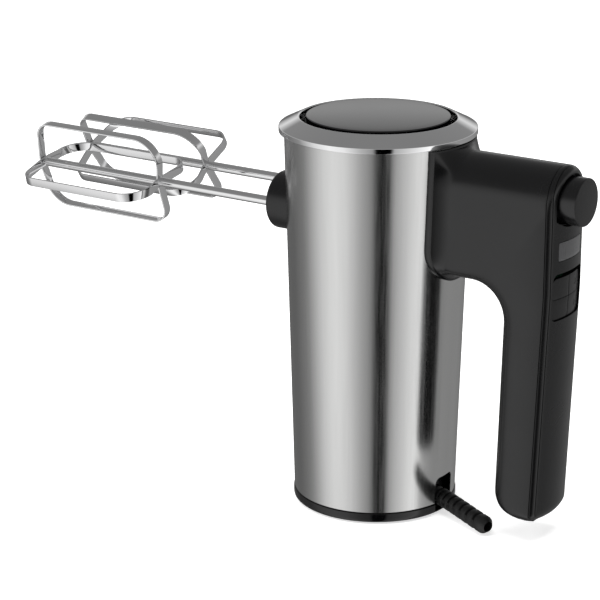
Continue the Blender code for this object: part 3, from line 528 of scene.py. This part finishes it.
def make_top():
    profile = softened([
        (BEZEL_RADIUS, 187.7, 0.35), (BEZEL_RADIUS, 190.4, 0.35), (BEZEL_BORE + 0.6, BEZEL_TOP, 0.35),
        (BEZEL_BORE, 194.6, 0.2), (BEZEL_BORE, 190.5), (42.0, 188.6), (42.0, 180.6),
        (44.0, 180.6), (44.0, 187.7),
    ])
    stands_for(solid("bezel_ring", lathe(profile, 256), smooth=28), "top_bezel")

    edge = CAP_TOP - CAP_RISE
    shares = (0.85, 0.65, 0.45, 0.25, 0.1, 0.0)
    dome = [(CAP_RADIUS * share, edge + CAP_RISE * (1 - share**2)) for share in shares]
    cap = softened([(0, 194), (CAP_RADIUS, 194, 0.1), (CAP_RADIUS, edge, 0.5)], 5) + dome
    stands_for(solid("cap_disc", lathe(cap, 192)), "top_cap")


def make_collar():
    rings = []
    edge = COLLAR_EDGE
    for degrees in (0, 20, 40, 60, 80, 90):
        inset = edge * (1 - math.sin(math.radians(degrees)))
        x = COLLAR_FRONT + edge * (1 - math.cos(math.radians(degrees)))
        outline = rounded_box(COLLAR_HALF_WIDTH - inset, COLLAR_HALF_HEIGHT - inset,
                              COLLAR_HALF_HEIGHT - 0.05 - inset, 20, (0, SPINDLE_Z))
        rings.append([(x, y, z) for y, z in outline])
    rings.append([(-30, y, z) for _, y, z in rings[-1]])
    collar = solid("collar_shell", lofted(rings))
    cut(collar, rod(COLLAR_SEAT_RADIUS, 100, 200, 128))
    for side in (-1, 1):
        cut(collar, rod(BORE_RADIUS, -60, -20), along_x(side * SPINDLE_OFFSET, SPINDLE_Z))
    stands_for(collar, "beater_collar")


# ---------------------------------------------------------------- beaters


def cage_path(stack):
    """Centre line of one loop in (x, across): rear, over the far side, tip, near side, rear."""
    rear, tip = BEATER_REAR, BEATER_TIP + stack
    reach = CAGE_RADIUS - STRIP_THICKNESS / 2
    start = SHAFT_RADIUS - 0.2
    upper = [(rear, start)]
    upper += arc((rear - CORNER_WIDE + ARM_SLANT, reach - CORNER_WIDE), CORNER_WIDE, 0, 90, 20)
    upper += arc((tip + CORNER_TIGHT + ARM_SLANT, reach - CORNER_TIGHT), CORNER_TIGHT, 90, 180, 16)
    lower = [(rear, -start)]
    lower += arc((rear - CORNER_TIGHT + ARM_SLANT, CORNER_TIGHT - reach), CORNER_TIGHT, 0, -90, 16)
    lower += arc((tip + CORNER_WIDE + ARM_SLANT, CORNER_WIDE - reach), CORNER_WIDE, -90, -180, 20)
    return upper + [(tip, 3.4), (tip, -3.4)] + lower[::-1]


def strip(path):
    """A flat strip with rounded long edges that follows an open path in the XZ plane."""
    section = rounded_box(STRIP_WIDTH / 2, STRIP_THICKNESS / 2, STRIP_EDGE, 3)
    rings = []
    for index, (u, v) in enumerate(path):
        before, after = path[max(index - 1, 0)], path[min(index + 1, len(path) - 1)]
        run = math.hypot(after[0] - before[0], after[1] - before[1])
        normal = ((after[1] - before[1]) / run, -(after[0] - before[0]) / run)
        rings.append([(u + offset * normal[0], across, v + offset * normal[1]) for across, offset in section])
    return lofted(rings)


def make_beaters():
    for name, side, phase in (("left", -1, LEFT_PHASE), ("right", 1, RIGHT_PHASE)):
        centre = (side * SPINDLE_OFFSET, SPINDLE_Z)
        tip, neck = BEATER_TIP, BEATER_TIP + 2.6
        profile = softened([
            (0, tip - 1.6), (1.5, tip - 1.5, 0.3), (2.1, tip - 0.8, 0.2), (1.15, tip - 0.75), (1.15, neck),
            (SHAFT_RADIUS, neck + 0.4, 0.3), (SHAFT_RADIUS, -24, 0.3), (0, -24),
        ])
        shaft = merged(lathe(profile, 48), rod(2.7, -25, -10, 6))
        stands_for(solid(f"{name}_shaft_skin", shaft, along_x(*centre)), f"{name}_beater_shaft")
        for index, letter in enumerate("ab"):
            place = Matrix.Translation((0, *centre)) @ Matrix.Rotation(phase + index * math.pi / 2, 4, "X")
            shape = strip(cage_path(index * (STRIP_THICKNESS + 0.3)))
            loop = solid(f"{name}_strip_{letter}", shape, place)
            stands_for(loop, f"{name}_beater_loop_{letter}")


# ---------------------------------------------------------------- handle


def arch_top(y):
    return ARCH_Z + math.sqrt(max(HALF_WIDTH**2 - y**2, 0))


def edge_drop(y, radius):
    """How far a rounded long edge falls away at y."""
    over = abs(y) - (HALF_WIDTH - radius)
    if over <= 0:
        return 0
    return radius - math.sqrt(max(radius**2 - over**2, 0))


def rear_x(y, z):
    over = max(abs(y) - 13.5, 0) / 3.5
    lean = REAR_LEAN * max(REAR_LEAN_START - z, 0)
    return REAR_FACE_X - y**2 / REAR_CROWN - 2.2 * over**3 - lean


def grip_inner_x(y, z):
    return CORNER_X + CORNER_RADIUS + edge_drop(y, GRIP_EDGE) - INNER_LEAN * (CORNER_Z - z)


def fan_outer(y, angle):
    """Where a ray from the inner corner's centre leaves the handle, round the top rear corner."""
    along, up = math.cos(angle), math.sin(angle)
    top, rear = arch_top(y), rear_x(y, 150)
    to_top = (top - CORNER_Z) / up if up > 1e-6 else math.inf
    if CORNER_X + to_top * along < rear - TOP_CORNER:
        return to_top
    reach = (rear - CORNER_X) / along
    for _ in range(3):
        rear = rear_x(y, CORNER_Z + reach * up)
        reach = (rear - CORNER_X) / along
    if CORNER_Z + reach * up < top - TOP_CORNER:
        return reach
    from_x, from_z = rear - TOP_CORNER - CORNER_X, top - TOP_CORNER - CORNER_Z
    middle = from_x * along + from_z * up
    return middle + math.sqrt(max(middle**2 - from_x**2 - from_z**2 + TOP_CORNER**2, 0))


def spread_across(count=22):
    return [HALF_WIDTH * math.sin(math.pi / 2 * step / count) for step in range(-count, count + 1)]


def handle_form(front=40.0):
    """The arm and grip as one closed form, from the arm's front end round to the grip's foot."""
    spread = spread_across()
    sections = []
    for x in (front, 0.5 * (front + CORNER_X)):
        outer = [(x, y, arch_top(y)) for y in spread]
        inner = [(x, y, ARM_UNDERSIDE + edge_drop(y, ARM_EDGE)) for y in reversed(spread)]
        sections.append(outer + inner)
    turns = [90, 85, 80, 75, 70, 67] + list(range(65, 47, -1)) + list(range(46, 2, -4))
    for degrees in turns:
        angle = math.radians(degrees)
        along, up = math.cos(angle), math.sin(angle)
        share = degrees / 90
        ring = []
        for y in spread:
            reach = fan_outer(y, angle)
            ring.append((CORNER_X + reach * along, y, CORNER_Z + reach * up))
        for y in reversed(spread):
            drop = share * edge_drop(y, ARM_EDGE) + (1 - share) * edge_drop(y, GRIP_EDGE)
            reach = CORNER_RADIUS + drop
            ring.append((CORNER_X + reach * along, y, CORNER_Z + reach * up))
        sections.append(ring)
    foot = GRIP_BOTTOM + FOOT_EDGE_INNER
    for z in (CORNER_Z, 85, 60, 38, foot):
        outer = [(rear_x(y, z), y, z) for y in spread]
        sections.append(outer + [(grip_inner_x(y, z), y, z) for y in reversed(spread)])
    for step in range(1, 13):
        turn = math.radians(7.5 * step)
        z = foot - FOOT_EDGE_INNER * math.sin(turn)
        sink_inner = FOOT_EDGE_INNER * (1 - math.cos(turn))
        over = max(GRIP_BOTTOM + FOOT_EDGE_OUTER - z, 0)
        sink_outer = FOOT_EDGE_OUTER - math.sqrt(max(FOOT_EDGE_OUTER**2 - over**2, 0))
        narrow = (HALF_WIDTH - sink_outer) / HALF_WIDTH
        outer = [(rear_x(y, z) - sink_outer, y * narrow, z) for y in spread]
        sections.append(outer + [(grip_inner_x(y, z) + sink_inner, y * narrow, z) for y in reversed(spread)])
    return lofted(sections)


def behind_seam(offset, end=130):
    """The space behind a line parallel to the seam of the rear cover."""
    x = SEAM_X + offset
    start = x - REAR_LEAN * REAR_LEAN_START
    if end == 130:
        outline = [(start, 0), (130, 0), (130, 200), (x, 200), (x, REAR_LEAN_START)]
    else:
        stop = SEAM_X + end
        outline = [(start, 0), (stop - REAR_LEAN * REAR_LEAN_START, 0), (stop, REAR_LEAN_START),
                   (stop, 200), (x, 200), (x, REAR_LEAN_START)]
    return prism(outline, -30, 30, "XZ")


def ray_reach(outline, angle, centre_z):
    """Distance from (0, centre_z) to an outline in a direction."""
    direction = Vector((math.cos(angle), math.sin(angle)))
    best = 0.0
    for index, end in enumerate(outline):
        start = Vector(outline[index - 1]) - Vector((0, centre_z))
        side = Vector(end) - Vector((0, centre_z)) - start
        across = direction.x * side.y - direction.y * side.x
        if abs(across) < 1e-9:
            continue
        reach = (start.x * side.y - start.y * side.x) / across
        share = (start.x * direction.y - start.y * direction.x) / across
        if reach > 0 and -1e-6 <= share <= 1 + 1e-6:
            best = max(best, reach)
    return best


def arm_outline():
    spread = spread_across()
    top = [(y, arch_top(y)) for y in spread]
    return top + [(y, ARM_UNDERSIDE + edge_drop(y, ARM_EDGE)) for y in reversed(spread)]


def flange_outline(inset=0.0):
    half = FLANGE_HALF_WIDTH - inset
    corner = FLANGE_CORNER - inset
    corner_z = FLANGE_BOTTOM + FLANGE_CORNER
    outline = [(-half, FLANGE_TOP - inset), (-half, corner_z)]
    outline += arc((-half + corner, corner_z), corner, 180, 270, 24)
    outline += arc((half - corner, corner_z), corner, 270, 360, 24)
    return outline + [(half, FLANGE_TOP - inset)]


def surface_x(y, z, offset):
    return math.sqrt(max((body_radius(z) + offset) ** 2 - y**2, 0))


def flare_form():
    """The concave sweep from the flange to the arm's own section."""
    centre_z = FLARE_CENTRE_Z
    arm, flange = arm_outline(), flange_outline(FLANGE_RIM)
    rings = []
    for step in range(FLARE_STEPS + 1):
        share = step / FLARE_STEPS
        ring = []
        for side in range(FLARE_SIDES):
            angle = 2 * math.pi * side / FLARE_SIDES
            at_arm, at_flange = ray_reach(arm, angle, centre_z), ray_reach(flange, angle, centre_z)
            wide = (1 - share) ** FLARE_SWEEP
            reach = at_arm - 0.25 * (1 - wide) * share + (at_flange - at_arm) * wide
            y, z = reach * math.cos(angle), centre_z + reach * math.sin(angle)
            ring.append((surface_x(y, z, FLANGE_THICKNESS + 0.35) + FLARE_DEPTH * share, y, z))
        rings.append(ring)
    return lofted(rings)


def make_shell():
    shell = solid("handle_skin", handle_form())
    cut(shell, body_cone(FLANGE_THICKNESS + 2 * FIT, 100, 200))
    cut(shell, behind_seam(0))
    for hollow in HOLLOWS:
        cut(shell, block(*hollow))
    cut(shell, rod(3, 30, 60, 24), along_x(0, BUTTON_Z))
    cut(shell, rod(12, 88, 120, 64), along_x(0, BUTTON_Z))
    bevelled(shell, 0.35)
    absorb(shell, solid("flare_helper", flare_form()))
    stands_for(shell, "handle_shell")


def make_flange():
    flange = solid("flange_plate", prism(flange_outline(), 30, 60, "YZ"))
    keep(flange, body_cone(FIT + FLANGE_THICKNESS, 100, 200))
    cut(flange, body_cone(FIT, 90, 210))
    bevelled(flange, 0.4)
    stands_for(flange, "handle_flange")


def pocket_outline():
    """Half-round top, straight sides, and a bottom that sags from its corners."""
    sag = POCKET_SHOULDER - POCKET_BOTTOM
    radius = (POCKET_HALF_WIDTH**2 + sag**2) / (2 * sag)
    swing = math.degrees(math.asin(POCKET_HALF_WIDTH / radius))
    floor = arc((0, POCKET_BOTTOM + radius), radius, 270 - swing, 270 + swing, 32)
    return floor + arc((0, BUTTON_Z + 0.01), POCKET_HALF_WIDTH, 0, 180, 48)


def key_field():
    """The outline of all four keys together, with round outer corners."""
    middle = (KEYS_BOTTOM + KEYS_TOP) / 2
    return rounded_box(KEYS_HALF_WIDTH, (KEYS_TOP - KEYS_BOTTOM) / 2, KEY_CORNER, 8, (0, middle))


def cut_openings(piece):
    """The knob's bore and pocket, the window and the keypad's recess."""
    cut(piece, rod(BUTTON_RADIUS + 0.4, 90, 120, 96), along_x(0, BUTTON_Z))
    cut(piece, prism(pocket_outline(), POCKET_FLOOR_X, 120, "YZ"))
    frame_outline = rounded_box(WINDOW_HALF_WIDTH + FIT, WINDOW_HALF_HEIGHT + FIT, 1.0, 6, (0, WINDOW_Z))
    cut(piece, prism(frame_outline, 90, 120, "YZ"))
    middle, half_height = (KEYPAD_BOTTOM + KEYPAD_TOP) / 2, (KEYPAD_TOP - KEYPAD_BOTTOM) / 2
    recess = rounded_box(KEYPAD_HALF_WIDTH, half_height, KEY_CORNER + 0.6, 8, (0, middle))
    cut(piece, prism(recess, 90, 120, "YZ"))


def make_cover():
    cover = solid("cover_skin", handle_form())
    keep(cover, behind_seam(SEAM_GAP + TRIM_DEPTH + 0.25))
    cut_openings(cover)
    bevelled(cover, 0.3)
    trim = solid("trim_helper", handle_form())
    keep(trim, behind_seam(SEAM_GAP, SEAM_GAP + TRIM_DEPTH))
    cut_openings(trim)
    bevelled(trim, 0.25)
    absorb(cover, trim)
    stands_for(cover, "rear_cover")


def make_window():
    window = solid("window_pane", handle_form())
    outline = rounded_box(WINDOW_HALF_WIDTH, WINDOW_HALF_HEIGHT, 0.8, 6, (0, WINDOW_Z))
    keep(window, prism(outline, 102.5, 120, "YZ"))
    bevelled(window, 0.2)
    stands_for(window, "display_window")


def key_mark(y, z):
    """A small raised ring, as a plain pictogram."""
    x = rear_x(y, z) - KEY_RECESS - 0.03
    rings = []
    for around in range(40):
        angle = 2 * math.pi * around / 40
        ring = []
        for step in range(8):
            turn = 2 * math.pi * step / 8
            radius = MARK_RADIUS + MARK_WIDTH * math.cos(turn)
            across, up = radius * math.cos(angle), radius * math.sin(angle)
            ring.append((x + MARK_HEIGHT * math.sin(turn), y + across, z + up))
        rings.append(ring)
    return lofted(rings + rings[:1], closed_ends=False)


def make_keys():
    for name in ("upper_left", "upper_right", "lower_left", "lower_right"):
        node = f"key_{name}"
        start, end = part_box(node)
        key = solid(f"{name}_keycap", handle_form(), Matrix.Translation((-KEY_RECESS, 0, 0)))
        keep(key, block((99.0, start.y / MM, start.z / MM), (120, end.y / MM, end.z / MM)))
        keep(key, prism(key_field(), 90, 120, "YZ"))
        bevelled(key, 0.25)
        if name.endswith("right"):
            absorb(key, solid("mark_helper", key_mark(MARK_Y, (start.z + end.z) / 2 / MM)))
        stands_for(key, node)


def make_button():
    radius, face = BUTTON_RADIUS, BUTTON_FACE
    profile = softened([
        (0, face), (radius, face, 0.7), (radius, 98.5, 0.3), (9.6, 98.5), (9.6, 109.5), (3.4, 109.5),
        (3.4, 99.5), (0, 99.5),
    ], 5)
    stands_for(solid("button_cap", lathe(profile, 128), along_x(0, BUTTON_Z)), "eject_button")


# ---------------------------------------------------------------- strain relief


def relief_point(share):
    """Straight through the clamp, then a cubic curve out of the notch and down to the table."""
    if share < RELIEF_STRAIGHT_SHARE:
        along = RELIEF_START_X + (RELIEF_BEND_X - RELIEF_START_X) * share / RELIEF_STRAIGHT_SHARE
        return Vector((along, 0.0, RELIEF_Z))
    ahead = (share - RELIEF_STRAIGHT_SHARE) / (1 - RELIEF_STRAIGHT_SHARE)
    left = 1 - ahead
    points = ((RELIEF_BEND_X, 0, RELIEF_Z), (42, -1, RELIEF_Z), (56, -8.8, 6.4), RELIEF_END)
    weights = (left**3, 3 * left**2 * ahead, 3 * left * ahead**2, ahead**3)
    return sum((Vector(point) * weight for point, weight in zip(points, weights)), Vector())


def relief_ring(share, radius, web=None, sides=32):
    """A ring across the relief; where web is set, its two sides keep that radius."""
    here = relief_point(share)
    run = (relief_point(share + 0.001) - here).normalized()
    side = Vector((-run.y, run.x, 0)).normalized()
    up = run.cross(side)
    ring = []
    for step in range(sides):
        angle = 2 * math.pi * step / sides
        reach = web if web and abs(math.cos(angle)) > 0.86 else radius
        ring.append(here + side * reach * math.cos(angle) + up * reach * math.sin(angle))
    return ring


def make_relief():
    rings = [relief_ring(0.0, RELIEF_RADIUS), relief_ring(0.24, RELIEF_RADIUS)]
    pitch = RIB_PITCH
    for rib in range(RIB_COUNT):
        start = RIB_START + rib * pitch
        for share in (0.0, 0.28):
            rings.append(relief_ring(start + share * pitch, RELIEF_GROOVE, RELIEF_RADIUS))
        for share, radius in ((0.3, 4.35), (0.4, 4.5), (0.85, 4.5), (0.95, 4.35)):
            rings.append(relief_ring(min(start + share * pitch, 0.999), radius))
    for share in (0.999, 0.7, 0.4, 0.0):
        rings.append(relief_ring(share, RELIEF_BORE))
    relief = solid("relief_skin", lofted(rings + rings[:1], closed_ends=False))
    stands_for(relief, "strain_relief")


# ---------------------------------------------------------------- studio

CAMERA_TURN, CAMERA_RISE = math.radians(33.86), math.radians(17.61)
CAMERA_DISTANCE, CAMERA_LENS = 1.1714, 143.0
CAMERA_SIDE, CAMERA_HEIGHT = -0.0376, 0.1021
FLOOR_SIZE, FLOOR_DROP, FLOOR_GLOW = 6.0, 0.0002, 0.62
# (bearing from the camera in degrees, positive to its right; brightness): soft boxes, and the gaps
# between them.
SURROUND = (
    (-180, 0.15), (-132, 0.16), (-105, 0.3), (-80, 0.85), (-60, 1.1), (-42, 1.0), (-22, 0.55), (-8, 0.36),
    (-4, 0.0), (13, 0.0), (17, 0.5), (32, 0.75), (60, 1.25), (68, 0.55), (88, 0.34), (140, 0.3), (180, 0.15),
)

# (height of the direction, share of the ceiling): where the soft boxes give way to the ceiling.
CEILING_START = ((0.0, 0), (0.2, 1))
# (height of the direction, brightness) from just above the soft boxes up to the zenith.
CEILING = ((0.22, 0.78), (0.37, 0.27), (0.85, 0.24))


def make_camera():
    right = Vector((math.cos(CAMERA_TURN), math.sin(CAMERA_TURN), 0))
    back = Vector((
        math.sin(CAMERA_TURN) * math.cos(CAMERA_RISE),
        -math.cos(CAMERA_TURN) * math.cos(CAMERA_RISE),
        math.sin(CAMERA_RISE),
    ))
    camera = bpy.data.objects.new("camera", bpy.data.cameras.new("camera"))
    bpy.context.scene.collection.objects.link(camera)
    camera.data.lens = CAMERA_LENS
    camera.data.sensor_width = 36.0
    camera.data.clip_start = 0.01
    camera.location = right * CAMERA_SIDE + Vector((0, 0, CAMERA_HEIGHT)) + back * CAMERA_DISTANCE
    camera.rotation_euler = back.to_track_quat("Z", "Y").to_euler()
    bpy.context.scene.camera = camera


def make_surround():
    """A studio round the object: soft boxes at set bearings, under a grey ceiling."""
    world = bpy.data.worlds.new("studio")
    bpy.context.scene.world = world
    world.use_nodes = True
    nodes, links = world.node_tree.nodes, world.node_tree.links
    split = nodes.new("ShaderNodeSeparateXYZ")
    links.new(nodes.new("ShaderNodeTexCoord").outputs["Generated"], split.inputs["Vector"])
    bearing = nodes.new("ShaderNodeMath")
    bearing.operation = "ARCTAN2"
    links.new(split.outputs["Y"], bearing.inputs[0])
    links.new(split.outputs["X"], bearing.inputs[1])
    turned = nodes.new("ShaderNodeMath")
    turned.operation = "MULTIPLY_ADD"
    turned.inputs[1].default_value = 1 / (2 * math.pi)
    turned.inputs[2].default_value = 0.5 + (math.pi / 2 - CAMERA_TURN) / (2 * math.pi)
    links.new(bearing.outputs["Value"], turned.inputs[0])
    wrapped = nodes.new("ShaderNodeMath")
    wrapped.operation = "FRACT"
    links.new(turned.outputs["Value"], wrapped.inputs[0])
    ramp = nodes.new("ShaderNodeValToRGB")
    links.new(wrapped.outputs["Value"], ramp.inputs["Fac"])
    stops = ramp.color_ramp.elements
    while len(stops) < len(SURROUND):
        stops.new(0.5)
    for stop, (degrees, brightness) in zip(stops, SURROUND):
        stop.position = (degrees + 180) / 360
        stop.color = (brightness, brightness, brightness, 1)
    rise = nodes.new("ShaderNodeValToRGB")
    links.new(split.outputs["Z"], rise.inputs["Fac"])
    for stop, (height, share) in zip(rise.color_ramp.elements, CEILING_START):
        stop.position = height
        stop.color = (share, share, share, 1)
    ceiling = nodes.new("ShaderNodeValToRGB")
    links.new(split.outputs["Z"], ceiling.inputs["Fac"])
    ceiling.color_ramp.elements.new(0.5)
    for stop, (height, brightness) in zip(ceiling.color_ramp.elements, CEILING):
        stop.position = height
        stop.color = (brightness, brightness, brightness, 1)
    blend = nodes.new("ShaderNodeMix")
    blend.data_type = "RGBA"
    links.new(rise.outputs["Color"], blend.inputs["Factor"])
    links.new(ramp.outputs["Color"], blend.inputs["A"])
    links.new(ceiling.outputs["Color"], blend.inputs["B"])
    links.new(blend.outputs["Result"], nodes["Background"].inputs["Color"])


def make_lamp(name, place, size, power):
    light = bpy.data.lights.new(name, "AREA")
    light.size = size
    light.energy = power
    lamp = bpy.data.objects.new(name, light)
    bpy.context.scene.collection.objects.link(lamp)
    lamp.location = place
    lamp.rotation_euler = Vector(place).to_track_quat("Z", "Y").to_euler()
    lamp.visible_glossy = False


def make_floor():
    corners = [(x * FLOOR_SIZE, y * FLOOR_SIZE, 0) for x, y in ((-1, -1), (1, -1), (1, 1), (-1, 1))]
    mesh = bpy.data.meshes.new("floor")
    mesh.from_pydata(corners, [], [(0, 1, 2, 3)])
    floor = bpy.data.objects.new("floor", mesh)
    bpy.context.scene.collection.objects.link(floor)
    floor.location.z = -FLOOR_DROP
    floor.visible_glossy = False
    graph = Graph("pale_floor", (0.93, 0.93, 0.93), 0.9)
    graph.shader.inputs["Specular IOR Level"].default_value = 0.0
    graph.shader.inputs["Emission Color"].default_value = (1, 1, 1, 1)
    graph.shader.inputs["Emission Strength"].default_value = FLOOR_GLOW
    mesh.materials.append(graph.material)


def make_studio():
    make_camera()
    make_surround()
    make_floor()
    make_lamp("top_box", (0.0, -0.2, 1.9), 1.6, 34)
    make_lamp("left_box", (-1.0, -1.3, 1.1), 0.9, 12)
    bpy.context.scene.view_settings.view_transform = "Standard"


dress_cad_nodes()
make_sleeve()
make_base()
make_top()
make_collar()
make_beaters()
make_shell()
make_flange()
make_cover()
make_window()
make_keys()
make_button()
make_relief()
make_studio()
